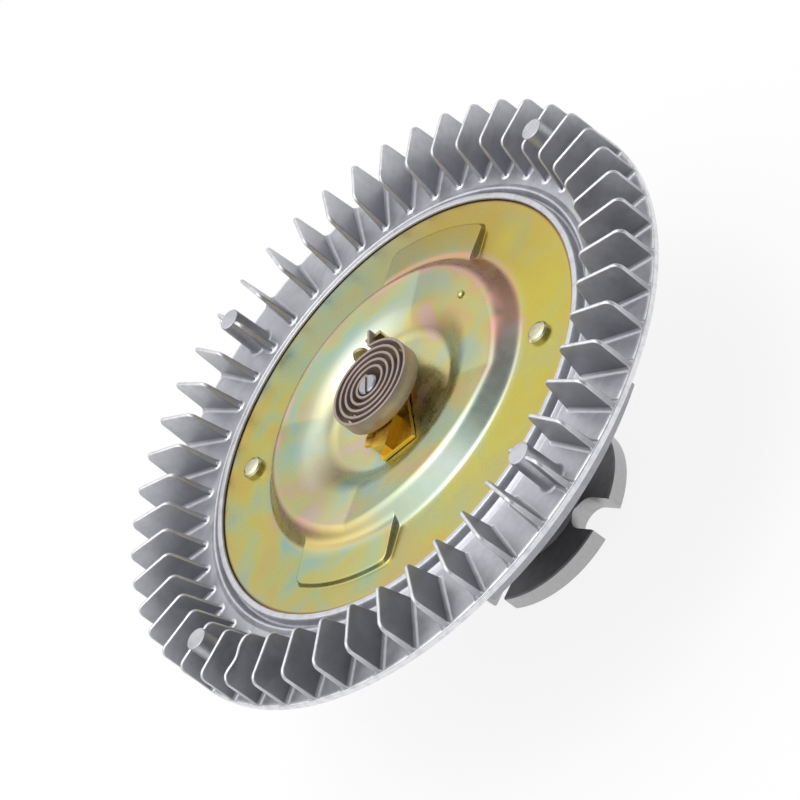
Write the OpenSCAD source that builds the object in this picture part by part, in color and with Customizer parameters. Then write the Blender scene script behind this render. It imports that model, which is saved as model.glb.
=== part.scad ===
// Viscous fan clutch with a bimetal coil thermostat.
// The drive hub bolts to the water pump. The finned housing carries the fan and turns on a ball bearing.
// A rotor on the hub shears silicone fluid against the housing; the coil turns a valve that meters the fluid.
// Millimetres. Z is the clutch axis with the cover up; the origin is the middle of the hub's mounting face.

/* [Hub] */
// Diameter of the drive flange
hub_d = 55; // [52:0.5:62]
// Thickness of the drive flange
hub_t = 5.4; // [4:0.1:8]
// Width of each open bolt slot in the drive flange
slot_w = 9.3; // [8:0.1:10.5]
// Distance from the axis to the centre of a slot's round end
slot_r = 20.8; // [20.5:0.1:23]
// Diameter of the pilot bore that fits over the pump shaft
pilot_d = 15.9; // [12:0.1:18]
// Depth of the pilot bore
pilot_depth = 14; // [8:0.5:18]
// Diameter of the hub's neck
neck_d = 30; // [28:0.5:31]
// Height of the bearing's rear face above the mounting face
bearing_z = 28; // [26:0.5:32]
// Diameter of the spindle where the rotor is fixed
rotor_seat_d = 14; // [12:0.5:15]

/* [Bearing] */
// Bore of the ball bearing
bearing_bore = 17; // [16.5:0.5:19]
// Outside diameter of the ball bearing
bearing_d = 40; // [38:0.5:42]
// Width of the ball bearing
bearing_w = 12; // [11:0.5:14]
// Diameter of each ball
ball_d = 6.75; // [6:0.05:7]
// Number of balls
ball_count = 8; // [6:1:9]

/* [Housing] */
// Diameter over the finned web
body_d = 175.5; // [172:0.5:184]
// Thickness of the finned web
web_t = 2.1; // [1.8:0.1:3]
// How far the web's front face lies below the cover's flat ring
web_drop = 1.4; // [0.8:0.1:2]
// Inside diameter of the fluid chamber
chamber_d = 105; // [104:0.5:107]
// Thickness of the chamber's walls
wall_t = 3.5; // [3:0.1:4.5]
// Width of the rolled lip that holds the cover
lip_w = 1.4; // [1.2:0.1:1.8]
// Thickness of the rolled lip over the cover
lip_t = 0.7; // [0.4:0.1:1]
// How far the rolled lip reaches over the cover
lip_over = 0.5; // [0.3:0.1:1]
// Angle at which the housing stands on the hub
housing_turn = -12.7; // [-45:0.1:45]

/* [Fins] */
// Number of front fins
fin_count = 48; // [36:12:60]
// Height of the fins above the web
fin_h = 12.3; // [9:0.1:14]
// Thickness of a fin at its tip
fin_tip_t = 1.05; // [0.9:0.05:1.4]
// Thickness of a fin at its root
fin_root_t = 2.1; // [1.8:0.05:2.6]
// Radius at which the fins begin
fin_in_r = 69.8; // [69:0.1:72]
// How far the inner edge of a fin leans outward over its height
fin_lean = 3.1; // [1:0.1:5]
// Radius of a fin's rounded corners
fin_round = 2.2; // [1.2:0.1:3]
// Diameter of the four ejector posts cast onto the fins
post_d = 6.5; // [5:0.1:7.5]
// Distance of the ejector posts from the axis
post_r = 78.6; // [76:0.1:81]

/* [Fan mounting] */
// Bolt circle of the fan
fan_pcd = 136; // [134:0.5:140]
// Tapping drill of the fan bolts
fan_hole_d = 6.8; // [5:0.1:7]
// Depth of the tapped holes
fan_hole_depth = 8; // [6:0.5:9]
// Outer radius of the fan pads
pad_r = 78; // [77:0.5:80]
// Height of the fan pads behind the web
pad_h = 8.5; // [8:0.1:9]
// Angle that each fan pad spans
pad_span = 48; // [36:1:50]

/* [Rotor] */
// Outside diameter of the rotor
rotor_d = 102; // [101.5:0.1:103]
// Thickness of the rotor's web
rotor_t = 3.8; // [3:0.1:5]
// Height of the shear lands
land_h = 4; // [3:0.1:5]
// Radius of the housing's innermost land
land_r = 30; // [29.5:0.1:30.5]
// Distance from one land to the next
land_pitch = 5.5; // [5.4:0.05:5.55]
// Fluid gap between neighbouring lands
land_gap = 0.4; // [0.25:0.05:0.6]

/* [Cover] */
// Diameter of the pressed cover
cover_d = 125.2; // [124.5:0.1:126]
// Thickness of the cover's sheet
cover_t = 2; // [1.6:0.1:2.4]
// Radius of the dome at its foot
dome_r = 44.3; // [43.5:0.1:45]
// Height of the dome at the middle of each facet's rim
dome_h = 5.2; // [4.6:0.1:6]
// How far each facet of the dome rises from the axis to the dome's foot
facet_rise = 4.5; // [3.5:0.1:5.5]
// Radius of the rounded shoulder of the dome
shoulder_r = 5; // [3:0.5:6]
// Radius of the coil recess at its mouth
recess_r = 24.4; // [23.6:0.1:25]
// Radius of the coil recess at its floor
recess_floor_r = 20; // [19.8:0.1:21]
// Height of the recess floor above the cover's flat ring
recess_floor_h = 0.2; // [0.1:0.1:0.8]
// Outer radius of the two return-passage bosses
boss_r = 54.3; // [53:0.1:56]
// Width of a return-passage boss
boss_w = 34.6; // [30:0.5:37]
// Height of a return-passage boss at the dome
boss_h = 2.3; // [1.8:0.1:2.6]
// Height of a return-passage boss at its outer edge
boss_edge_h = 0.6; // [0.4:0.1:1.2]
// Angle of the first return-passage boss on the housing
boss_turn = 28.9; // [20:0.1:36]
// Distance of the cover rivets from the axis
rivet_r = 51.6; // [50:0.1:52.5]
// Angle of the first cover rivet on the housing
rivet_turn = 128; // [115:0.5:135]
// Diameter of a rivet's head
rivet_head_d = 6.4; // [6:0.1:7]
// Diameter of the filler plug pressed into the dome
plug_d = 2.2; // [1.6:0.1:3]
// Distance of the filler plug from the axis
plug_r = 33; // [30:0.5:35]

/* [Valve] */
// Diameter of the divider plate
plate_d = 114.6; // [114:0.1:115]
// Thickness of the divider plate
plate_t = 1.2; // [1:0.1:1.6]
// Gap between the rotor and the divider plate
plate_gap = 2; // [1.8:0.1:2.6]
// Space between the divider plate and the cover for the valve arm
valve_space = 2; // [1.9:0.1:2.4]
// Distance of the metering holes from the axis
valve_hole_r = 20; // [18:0.5:21]
// Diameter of a metering hole
valve_hole_d = 5; // [4:0.5:6]
// Diameter of the valve shaft
shaft_d = 6; // [5.6:0.1:6.4]

/* [Coil] */
// Height of the coil's front edge above the cover's flat ring
coil_top = 9.7; // [9.2:0.1:10.5]
// Width of the bimetal strip
coil_w = 4.9; // [4:0.1:5.2]
// Thickness of the bimetal strip
strip_t = 0.8; // [0.6:0.05:0.9]
// Radius of the coil's innermost turn
coil_r = 3.9; // [3.8:0.05:4.2]
// Distance from one turn to the next
coil_pitch = 2; // [1.8:0.05:2.1]
// Number of half turns
coil_half_turns = 10; // [8:2:10]
// Thickness of the bracket's sheet
bracket_t = 1.2; // [1:0.1:1.5]
// Width of the bracket's strap
bracket_w = 11; // [10:0.5:12]
// Distance from the axis to the bracket's upturned ends
bracket_r = 17.2; // [16.6:0.1:17.6]
// Angle of the bracket's forked end on the housing
bracket_turn = 57; // [40:1:70]

/* [Hidden] */
$fn = 96;
// Running clearance of a shaft in its bush, measured on the radius
run_clear = 0.03;
// Clearance between the coil's ends and the slots that hold them
slot_clear = 0.12;
// Clearance of discs dropped into their seats, measured on the radius
seat_clear = 0.1;
// Clearance of the cover seal over its groove's floor
seal_clear = 0.02;
// Clearance of a ball in its race
ball_clear = 0.05;
// Overlap of shapes that are joined into one piece
join = 0.3;

bearing_top = bearing_z + bearing_w;
bearing_r = bearing_d / 2;
race_r = (bearing_bore + bearing_d) / 4;
race_wall = (bearing_d - bearing_bore) / 7;
ring_in_r = bearing_bore / 2 + race_wall;
ring_out_r = bearing_r - race_wall;
snap_t = 1.2;
snap_depth = 1;
snap_z = bearing_z - snap_t;
tail_z = snap_z - 2;
boss_wall = 6;
tail_r = bearing_r + boss_wall;

shoulder_t = 4.5;
floor_z = bearing_top + shoulder_t;
end_gap = 0.7;
land_t = land_pitch / 2 - land_gap;
housing_lands = 4;
rotor_z = floor_z + land_h + end_gap;
rotor_top = rotor_z + rotor_t;
plate_z = rotor_top + plate_gap;
plate_top = plate_z + plate_t;
cover_seat = plate_top + valve_space;
cover_z = cover_seat + cover_t;
lip_z = cover_z + lip_t;
web_z = cover_z - web_drop;
web_back = web_z - web_t;
fin_top = web_z + fin_h;

chamber_r = chamber_d / 2;
body_r = body_d / 2;
plate_seat_r = plate_d / 2 + seat_clear;
cover_r = cover_d / 2;
cover_seat_r = cover_r + seat_clear;
lip_in_r = cover_r - lip_over;
lip_out_r = cover_seat_r + lip_w;
groove_floor = web_z - 0.8;
groove_r = lip_out_r + 0.8;
crest_r = lip_out_r + 1.9;
crest_z = cover_z - 0.1;
pad_z = web_back - pad_h;
register_r = chamber_r + wall_t;
back_z = floor_z - wall_t;
skirt_r = cover_seat_r + 0.3;
skirt_back_r = register_r + 2.5;
seal_r = 0.9;
seal_pitch_r = (plate_seat_r + cover_seat_r) / 2;
rivet_shank_r = 2;
rivet_tail_r = 2.8;
rivet_tail_h = 0.7;
rivet_relief = 0.3;
facet_z = cover_z + dome_h - facet_rise * 0.85;
facet_slope = atan(facet_rise / dome_r);
boss_root = 8;

recess_floor_z = cover_z + recess_floor_h;
bracket_z = recess_floor_z + bracket_t;
fork_y = -2.65;
coil_turn = bracket_turn + asin(fork_y / (bracket_r + bracket_t / 2));
bush_flange_t = 1;
bush_top = bracket_z + bush_flange_t;
bush_r = 4.5;
bush_flange_r = 6.6;
bush_z = recess_floor_z - cover_t - 0.5;
shaft_r = shaft_d / 2;
arm_clear = 0.12;
arm_t = 0.8;
arm_z = plate_top + arm_clear;
arm_seat_r = 2.2;
shaft_seal_r = 0.5;
shaft_seal_z = (bush_z + bush_top) / 2;
coil_z = cover_z + coil_top - coil_w;
coil_front = cover_z + coil_top;
shaft_top = coil_front + 0.4;
coil_end_r = coil_r + (coil_half_turns - 1) * coil_pitch / 2;

// Radius of the chamber's sloping outer wall at a height
function skirt_at(z) = skirt_back_r + (skirt_r - skirt_back_r) * (z - pad_z) / pad_h;

// A ring of rectangular section
module ring(outer_r, inner_r, z, h) {
    rotate_extrude()
        translate([inner_r, z])
            square([outer_r - inner_r, h]);
}

// A ring of round section
module torus(pitch_r, section_r, z) {
    rotate_extrude()
        translate([pitch_r, z])
            circle(section_r);
}

// The housing and everything fixed to it stand at one angle on the hub
module on_housing(angle = 0) {
    rotate(housing_turn + angle)
        children();
}

// Copies spread evenly round the axis
module around(count) {
    for (i = [0 : count - 1])
        rotate(i * 360 / count)
            children();
}

// A flat rib in a radial plane, from its outline in radius and height
module radial_rib(thickness) {
    rotate([90, 0, 0])
        linear_extrude(thickness, center = true)
            children();
}

// Drive hub: slotted flange, neck, bearing seat and rotor seat in one piece
module drive_hub() {
    spindle_r = bearing_bore / 2;
    seat_r = rotor_seat_d / 2;
    neck_r = neck_d / 2;
    neck_top = bearing_z - 5;
    color("dimgray")
    difference() {
        rotate_extrude()
            polygon([[0, 0], [hub_d / 2 - 0.4, 0], [hub_d / 2, 0.4], [hub_d / 2, hub_t - 0.4],
                [hub_d / 2 - 0.4, hub_t], [neck_r + 1.5, hub_t], [neck_r, hub_t + 1.5], [neck_r, neck_top],
                [ring_in_r - 0.5, bearing_z - 1.5], [ring_in_r - 0.5, bearing_z], [spindle_r, bearing_z],
                [spindle_r, bearing_top - 0.4], [seat_r, bearing_top - 0.4], [seat_r, rotor_top],
                [seat_r + 1.2, rotor_top], [seat_r + 0.6, rotor_top + 0.9], [0, rotor_top + 0.9]]);
        translate([0, 0, -1])
            cylinder(h = pilot_depth + 1, d = pilot_d);
        around(4)
            bolt_slot();
    }
}

// One bolt slot, open at the flange's rim
module bolt_slot() {
    translate([slot_r, 0, -1]) {
        cylinder(h = hub_t + 2, d = slot_w);
        translate([0, -slot_w / 2, 0])
            cube([hub_d, slot_w, hub_t + 2]);
    }
}

module bearing_inner_ring() {
    color("silver")
    difference() {
        ring(ring_in_r, bearing_bore / 2, bearing_z, bearing_w);
        torus(race_r, ball_d / 2 + ball_clear, bearing_z + bearing_w / 2);
    }
}

module bearing_outer_ring() {
    color("silver")
    difference() {
        ring(bearing_r, ring_out_r, bearing_z, bearing_w);
        torus(race_r, ball_d / 2 + ball_clear, bearing_z + bearing_w / 2);
    }
}

module bearing_balls() {
    color("lightgray")
    around(ball_count)
        translate([race_r, 0, bearing_z + bearing_w / 2])
            sphere(d = ball_d);
}

// Cage with a round pocket for each ball
module bearing_cage() {
    cage_w = ball_d + 1.8;
    color("peru")
    difference() {
        ring(race_r + 1, race_r - 1, bearing_z + (bearing_w - cage_w) / 2, cage_w);
        around(ball_count)
            translate([race_r, 0, bearing_z + bearing_w / 2])
                rotate([0, 90, 0])
                    cylinder(h = 6, d = ball_d + 2 * ball_clear, center = true);
    }
}

// A lip seal pressed into the bearing's outer ring
module lip_seal(z) {
    ring(ring_out_r, ring_in_r + run_clear, z, 0.7);
}

module bearing_seal_rear() {
    color([0.12, 0.12, 0.12])
        lip_seal(bearing_z + 0.2);
}

module bearing_seal_front() {
    color([0.12, 0.12, 0.12])
        lip_seal(bearing_top - 0.9);
}

// Open ring that holds the bearing in the housing
module bearing_snap_ring() {
    inner_r = bearing_r - 1.6;
    color("slategray")
    on_housing()
        difference() {
            ring(bearing_r + snap_depth, inner_r, snap_z, snap_t);
            translate([0, -3, snap_z - 1])
                cube([bearing_r + 3, 6, snap_t + 2]);
        }
}

// Rotor with rings that run between those of the housing
module rotor() {
    rotor_hub_r = 12;
    vent_r = 20;
    vent_d = 4;
    color("lightsteelblue")
    difference() {
        union() {
            ring(rotor_hub_r, rotor_seat_d / 2, bearing_top, rotor_top - bearing_top);
            ring(rotor_d / 2, rotor_hub_r - join, rotor_z, rotor_t);
            for (i = [0 : housing_lands])
                shear_land(land_r + (i - 0.5) * land_pitch, floor_z + end_gap, land_h + join);
        }
        around(6)
            translate([vent_r, 0, rotor_z - 1])
                cylinder(h = rotor_t + 2, d = vent_d);
    }
}

// One shear land, centred on its radius
module shear_land(radius, z, h) {
    ring(radius + land_t / 2, radius - land_t / 2, z, h);
}

// Die-cast housing: fluid chamber, bearing boss, rolled lip, finned web and fan pads in one piece
module finned_housing() {
    color("gainsboro")
    on_housing()
        difference() {
            union() {
                housing_shell();
                for (i = [0 : housing_lands - 1])
                    shear_land(land_r + i * land_pitch, floor_z - join, land_h + join);
                around(fin_count)
                    front_fin();
                around(4)
                    ejector_post();
                around(4)
                    fan_pad();
                around(4)
                    for (a = [-15 : 7.5 : 15])
                        rotate(45 + a)
                            rear_fin();
                around(12)
                    rotate(15)
                        boss_rib();
            }
            around(4)
                translate([fan_pcd / 2, 0, pad_z - 1])
                    cylinder(h = fan_hole_depth + 1, d = fan_hole_d);
            at_rivets()
                translate([0, 0, plate_z - rivet_tail_h - rivet_relief])
                    cylinder(h = rivet_tail_h + 1, r = rivet_tail_r + rivet_relief);
        }
}

// Section of the housing turned round the axis
module housing_shell() {
    rim_edge = 0.4;
    rotate_extrude()
        difference() {
            polygon([[bearing_r, tail_z], [bearing_r, floor_z], [chamber_r, floor_z], [chamber_r, plate_z],
                [plate_seat_r, plate_z], [plate_seat_r, cover_seat], [cover_seat_r, cover_seat],
                [cover_seat_r, cover_z], [lip_in_r, cover_z], [lip_in_r + 0.3, lip_z - 0.05],
                [lip_in_r + 0.7, lip_z], [lip_out_r - 0.8, lip_z], [lip_out_r - 0.25, lip_z - 0.3],
                [lip_out_r, lip_z - 0.9], [lip_out_r, groove_floor], [groove_r, groove_floor],
                [crest_r - 0.5, crest_z - 0.2], [crest_r, crest_z], [crest_r + 0.4, crest_z - 0.1],
                [fin_in_r - 0.3, web_z], [body_r - rim_edge, web_z], [body_r, web_z - rim_edge],
                [body_r, web_back + rim_edge], [body_r - rim_edge, web_back], [skirt_r, web_back],
                [skirt_back_r, pad_z], [register_r, pad_z], [register_r, back_z + 2],
                [register_r - 2, back_z], [tail_r + 4, back_z], [tail_r, back_z - 4], [tail_r, tail_z + 1],
                [tail_r - 1, tail_z]]);
            translate([bearing_r - 1, snap_z])
                square([1 + snap_depth, snap_t]);
            translate([seal_pitch_r - seal_r - seat_clear, cover_seat - 2 * seal_r - seal_clear])
                square([2 * (seal_r + seat_clear), 2 * seal_r + 1]);
        }
    ring(bearing_r + join, ring_out_r + 0.4, bearing_top, shoulder_t);
}

// One drafted front fin
module front_fin() {
    intersection() {
        radial_rib(fin_root_t + 3)
            fin_outline();
        rotate([90, 0, 90])
            linear_extrude(body_r)
                fin_section();
    }
}

// Side view of a fin: leaning inner edge, rounded top corners, upright outer edge
module fin_outline() {
    lean = atan(fin_lean / fin_h);
    outer_r = body_r - 0.25;
    round_z = fin_top - fin_round;
    round_r = fin_in_r + fin_lean * (round_z - web_z) / fin_h + fin_round / cos(lean);
    translate([round_r, round_z])
        circle(fin_round);
    translate([outer_r - fin_round, round_z])
        circle(fin_round);
    polygon([[fin_in_r, web_z - join], [fin_in_r, web_z],
        [round_r - fin_round * cos(lean), round_z + fin_round * sin(lean)], [round_r, fin_top],
        [outer_r - fin_round, fin_top], [outer_r, round_z], [outer_r, web_z - join]]);
}

// End view of a fin: filleted root, draft and round tip
module fin_section() {
    tip = fin_tip_t / 2;
    root = fin_root_t / 2;
    fillet = 0.7;
    translate([0, fin_top - tip])
        circle(tip, $fn = 32);
    polygon([[-root - fillet, web_z - join], [-root - fillet, web_z], [-root, web_z + fillet],
        [-tip, fin_top - tip], [tip, fin_top - tip], [root, web_z + fillet], [root + fillet, web_z],
        [root + fillet, web_z - join]]);
}

// Round post on which the casting was pushed out of its die
module ejector_post() {
    translate([post_r, 0, web_z - join])
        cylinder(h = fin_h + join - 0.1, d = post_d);
}

// Raised pad that the fan is bolted against
module fan_pad() {
    rotate(-pad_span / 2)
        rotate_extrude(angle = pad_span)
            polygon([[skirt_at(pad_z) - join, pad_z], [pad_r, pad_z], [pad_r, web_back + join],
                [skirt_r - join, web_back + join], [skirt_r - join, web_back]]);
}

// Short cooling fin on the back of the web
module rear_fin() {
    depth = 4.5;
    radial_rib(2)
        polygon([[skirt_at(web_back - depth) - join, web_back - depth], [fan_pcd / 2, web_back - depth],
            [pad_r - 1, web_back - 1], [pad_r - 1, web_back + join], [skirt_r - join, web_back + join],
            [skirt_r - join, web_back]]);
}

// Rib that stiffens the bearing boss
module boss_rib() {
    radial_rib(3)
        polygon([[tail_r - 1, back_z + join], [tail_r - 1, tail_z + 6], [tail_r + 1, tail_z + 6],
            [register_r - 6, back_z - 1], [register_r - 6, back_z + join]]);
}

module cover_seal() {
    color([0.1, 0.1, 0.1])
        torus(seal_pitch_r, seal_r, cover_seat - seal_r);
}

// Plate between the fluid store and the fluid chamber, with metering and return holes
module divider_plate() {
    color("darkkhaki")
    on_housing()
        difference() {
            union() {
                ring(plate_d / 2, 0, plate_z, plate_t);
                around(2)
                    rotate(boss_turn + 6)
                        translate([rotor_d / 2 - 6, -3, plate_z - 1.4])
                            cube([5, 6, 1.4 + join]);
            }
            around(2)
                rotate(boss_turn) {
                    translate([rotor_d / 2 - 3, 0, plate_z - 2])
                        cylinder(h = plate_t + 4, d = 3);
                    translate([valve_hole_r, 0, plate_z - 1])
                        cylinder(h = plate_t + 2, d = valve_hole_d);
                }
            at_rivets()
                translate([0, 0, plate_z - 1])
                    cylinder(h = plate_t + 2, r = rivet_shank_r);
        }
}

// The two rivet places on the cover
module at_rivets() {
    around(2)
        rotate(rivet_turn)
            translate([rivet_r, 0, 0])
                children();
}

// Pressed cover: flat ring, faceted dome, two return-passage bosses and a recess for the coil
module front_cover() {
    color("goldenrod")
    on_housing()
        difference() {
            union() {
                ring(cover_r, 0, cover_seat, cover_t);
                cover_form(0);
                filler_plug();
            }
            coil_recess(0);
            difference() {
                translate([0, 0, -cover_t])
                    cover_form(cover_t);
                coil_recess(cover_t);
            }
            translate([0, 0, bush_z - 1])
                cylinder(h = 6, r = bush_r);
            at_rivets()
                translate([0, 0, cover_seat - 1])
                    cylinder(h = cover_t + 2, r = rivet_shank_r);
        }
}

// Raised shape of the cover, drawn in on all sides by the sheet's thickness for its inner face
module cover_form(inset) {
    dome(inset);
    around(2)
        rotate(boss_turn)
            return_boss(inset);
}

// Dome whose top is four flat facets that fall to the axis and meet in shallow valleys
module dome(inset) {
    foot_r = dome_r - 0.8 * inset;
    crown = dome_h + 0.5;
    fall = shoulder_r * (1 - cos(45));
    round_r = foot_r - (crown - fall) - shoulder_r * sin(45);
    intersection() {
        rotate_extrude()
            difference() {
                union() {
                    polygon([[0, cover_z - join], [foot_r, cover_z - join], [foot_r, cover_z],
                        [foot_r - crown + fall, cover_z + crown - fall], [round_r, cover_z + crown],
                        [0, cover_z + crown]]);
                    translate([round_r, cover_z + crown - shoulder_r])
                        circle(shoulder_r);
                }
                translate([-shoulder_r, 0])
                    square([shoulder_r, lip_z + crown]);
                translate([0, cover_z - join - 2 * shoulder_r])
                    square([dome_r, 2 * shoulder_r]);
            }
        facet_roof();
    }
}

// Four half spaces below planes that rise away from the axis
module facet_roof() {
    reach = 2 * dome_r;
    around(4)
        rotate(boss_turn + 45)
            intersection() {
                translate([0, 0, facet_z])
                    rotate([0, -facet_slope, 0])
                        translate([-reach, -reach, -reach])
                            cube([2 * reach, 2 * reach, reach]);
                rotate(-45)
                    translate([0, 0, cover_z - reach])
                        cube([reach, reach, 2 * reach]);
            }
}

// Boss over the passage that brings fluid back to the store; its top falls from the dome to its outer edge
module return_boss(inset) {
    width = boss_w - 2 * inset;
    outer_r = boss_r - inset;
    root_r = dome_r - boss_root;
    fall = (boss_h - boss_edge_h) / (boss_r - dome_r);
    intersection() {
        rotate_extrude()
            polygon([[root_r, cover_z - join], [outer_r, cover_z - join],
                [outer_r, cover_z + boss_h - fall * (outer_r - dome_r)], [dome_r, cover_z + boss_h],
                [root_r, cover_z + boss_h]]);
        translate([0, -width / 2, cover_z - 2])
            cube([body_r, width, boss_h + 4]);
    }
}

// Round-headed plug of the filling hole, on the facet between two valleys
module filler_plug() {
    rotate(boss_turn - 40)
        translate([plug_r, 0, facet_z + plug_r * tan(facet_slope) - plug_d / 8])
            sphere(d = plug_d);
}

// Cup in the middle of the cover, let out by the sheet's thickness for its back
module coil_recess(outset) {
    depth = dome_h + 2;
    translate([0, 0, recess_floor_z - outset])
        cylinder(h = depth + outset, r1 = recess_floor_r + outset * 0.8,
            r2 = recess_floor_r + outset * 0.8 + (recess_r - recess_floor_r) * depth / (dome_h - 1));
}

// Shouldered rivets that carry the divider plate under the cover
module cover_rivets() {
    head_r = rivet_head_d / 2;
    rivet_z = plate_z - rivet_tail_h;
    spacer_r = 3.4;
    color("khaki")
    on_housing()
        at_rivets()
            rotate_extrude()
                polygon([[0, rivet_z], [rivet_tail_r, rivet_z], [rivet_tail_r, plate_z],
                    [rivet_shank_r, plate_z], [rivet_shank_r, plate_top], [spacer_r, plate_top],
                    [spacer_r, cover_seat], [rivet_shank_r, cover_seat], [rivet_shank_r, cover_z],
                    [head_r, cover_z], [head_r, cover_z + 1], [head_r - 0.4, cover_z + 1.5],
                    [head_r - 1.2, cover_z + 1.85], [0, cover_z + 2]]);
}

// Flanged bush that clamps the bracket to the cover and carries the valve shaft
module shaft_bush() {
    color("darkgoldenrod")
    rotate_extrude()
        polygon([[shaft_r + run_clear, bush_z], [bush_r, bush_z], [bush_r, bracket_z],
            [bush_flange_r, bracket_z], [bush_flange_r, bush_top], [shaft_r + run_clear, bush_top]]);
}

// Valve shaft: arm seat below, seal groove in the bush, slotted head for the coil
module valve_shaft() {
    groove_h = 2 * shaft_seal_r + 0.2;
    color("silver")
    on_housing()
        difference() {
            rotate_extrude()
                polygon([[0, arm_z], [arm_seat_r, arm_z], [arm_seat_r, arm_z + arm_t],
                    [shaft_r, arm_z + arm_t], [shaft_r, shaft_seal_z - groove_h / 2],
                    [shaft_r - 2 * shaft_seal_r, shaft_seal_z - groove_h / 2],
                    [shaft_r - 2 * shaft_seal_r, shaft_seal_z + groove_h / 2],
                    [shaft_r, shaft_seal_z + groove_h / 2], [shaft_r, shaft_top - 0.4],
                    [shaft_r - 0.4, shaft_top], [0, shaft_top]]);
            rotate(coil_turn)
                translate([-shaft_d, -strip_t / 2 - slot_clear, coil_z - slot_clear])
                    cube([2 * shaft_d, strip_t + 2 * slot_clear, coil_w + 2]);
        }
}

// Leaf that covers the metering holes
module valve_arm() {
    color("burlywood")
    on_housing(boss_turn)
        difference() {
            union() {
                translate([0, 0, arm_z])
                    cylinder(h = arm_t, r = 6);
                around(2) {
                    translate([valve_hole_r, 0, arm_z])
                        cylinder(h = arm_t, d = valve_hole_d + 3);
                    translate([0, -3, arm_z])
                        cube([valve_hole_r, 6, arm_t]);
                }
            }
            translate([0, 0, arm_z - 1])
                cylinder(h = arm_t + 2, r = arm_seat_r);
        }
}

module valve_shaft_seal() {
    color([0.15, 0.15, 0.15])
        torus(shaft_r - shaft_seal_r, shaft_seal_r, shaft_seal_z);
}

// Folded strap: fork and wing at the coil's outer end, channel and shelf in front of the coil opposite
module coil_bracket() {
    fork_top = coil_front - 1.5;
    fork_gap = strip_t + 2 * slot_clear;
    sill_z = coil_z + 0.4;
    prong_w = 2.3;
    prong_h = 4.4;
    prong_tilt = 30;
    wing_w = 4.3;
    color("gold")
    on_housing(bracket_turn)
        difference() {
            union() {
                translate([-bracket_r - bracket_t, -bracket_w / 2, recess_floor_z])
                    cube([2 * (bracket_r + bracket_t), bracket_w, bracket_t]);
                translate([bracket_r, -bracket_w / 2, recess_floor_z])
                    cube([bracket_t, bracket_w, sill_z - recess_floor_z]);
                translate([bracket_r, fork_y - fork_gap / 2 - prong_w, bracket_z])
                    cube([bracket_t, prong_w, fork_top - bracket_z]);
                translate([bracket_r, fork_y + fork_gap / 2, sill_z - bracket_t])
                    rotate([0, prong_tilt, 0])
                        cube([bracket_t, prong_w, prong_h]);
                translate([bracket_r, bracket_w / 2 - wing_w, bracket_z])
                    cube([bracket_t, wing_w, fork_top - wing_w / 2 - bracket_z]);
                translate([bracket_r, bracket_w / 2 - wing_w / 2, fork_top - wing_w / 2])
                    rotate([0, 90, 0])
                        cylinder(h = bracket_t, d = wing_w);
                bracket_channel();
            }
            rotate(coil_turn - bracket_turn)
                translate([bracket_r - 1, -fork_gap / 2, coil_z - slot_clear])
                    cube([prong_h + 2, fork_gap, coil_w + 2]);
            translate([0, 0, recess_floor_z - 1])
                cylinder(h = bracket_t + 2, r = bush_r);
        }
}

// Channel folded up from the strap, open under the coil, with a lower shelf along one side
module bracket_channel() {
    length = 9.6;
    width = 4.9;
    top = coil_z - 0.4;
    shelf_l = 7.8;
    shelf_w = 4.3;
    shelf_top = top - 0.6;
    translate([-bracket_r + 4.2, 1.3, 0])
        rotate(-29) {
            difference() {
                translate([-length / 2, -width / 2, recess_floor_z])
                    cube([length, width, top - recess_floor_z]);
                translate([-length / 2 + bracket_t, -width / 2 + bracket_t, bracket_z])
                    cube([length, width - 2 * bracket_t, top - bracket_t - bracket_z]);
            }
            translate([length / 2 - shelf_l, width / 2 - join, shelf_top - bracket_t])
                cube([shelf_l, shelf_w + join, bracket_t]);
        }
}

// Bimetal strip wound in half circles, with an inner tang and an outer leg
module bimetal_coil() {
    tang = shaft_r - 0.4;
    color("rosybrown")
    on_housing(coil_turn)
        translate([0, 0, coil_z]) {
            for (i = [0 : coil_half_turns - 1])
                half_turn(i);
            translate([-tang, -strip_t / 2, 0])
                cube([tang + coil_r + strip_t / 2, strip_t, coil_w]);
            translate([coil_end_r - strip_t / 2, -strip_t / 2, 0])
                cube([bracket_r + bracket_t + 1.2 - coil_end_r + strip_t / 2, strip_t, coil_w]);
        }
}

// One half circle of the coil: even ones on the far side, odd ones drawn about a shifted centre
module half_turn(i) {
    odd = i % 2;
    radius = coil_r + i * coil_pitch / 2;
    translate([odd * coil_pitch / 2, 0, 0])
        rotate(odd * 180)
            rotate_extrude(angle = 180)
                translate([radius - strip_t / 2, 0])
                    square([strip_t, coil_w]);
}

drive_hub();
bearing_inner_ring();
bearing_balls();
bearing_cage();
bearing_outer_ring();
bearing_seal_rear();
bearing_seal_front();
bearing_snap_ring();
rotor();
finned_housing();
cover_seal();
divider_plate();
front_cover();
cover_rivets();
shaft_bush();
valve_shaft();
valve_arm();
valve_shaft_seal();
coil_bracket();
bimetal_coil();
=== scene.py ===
"""Looks of a viscous fan clutch: cast housing, pressed cover, bimetal coil, finishes, light and camera.

Lengths are in millimetres and angles in degrees, as in the solids, until a piece is made in metres.
"""

import math

import bmesh
import bpy
import numpy as np
from mathutils import Matrix, Vector


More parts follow.
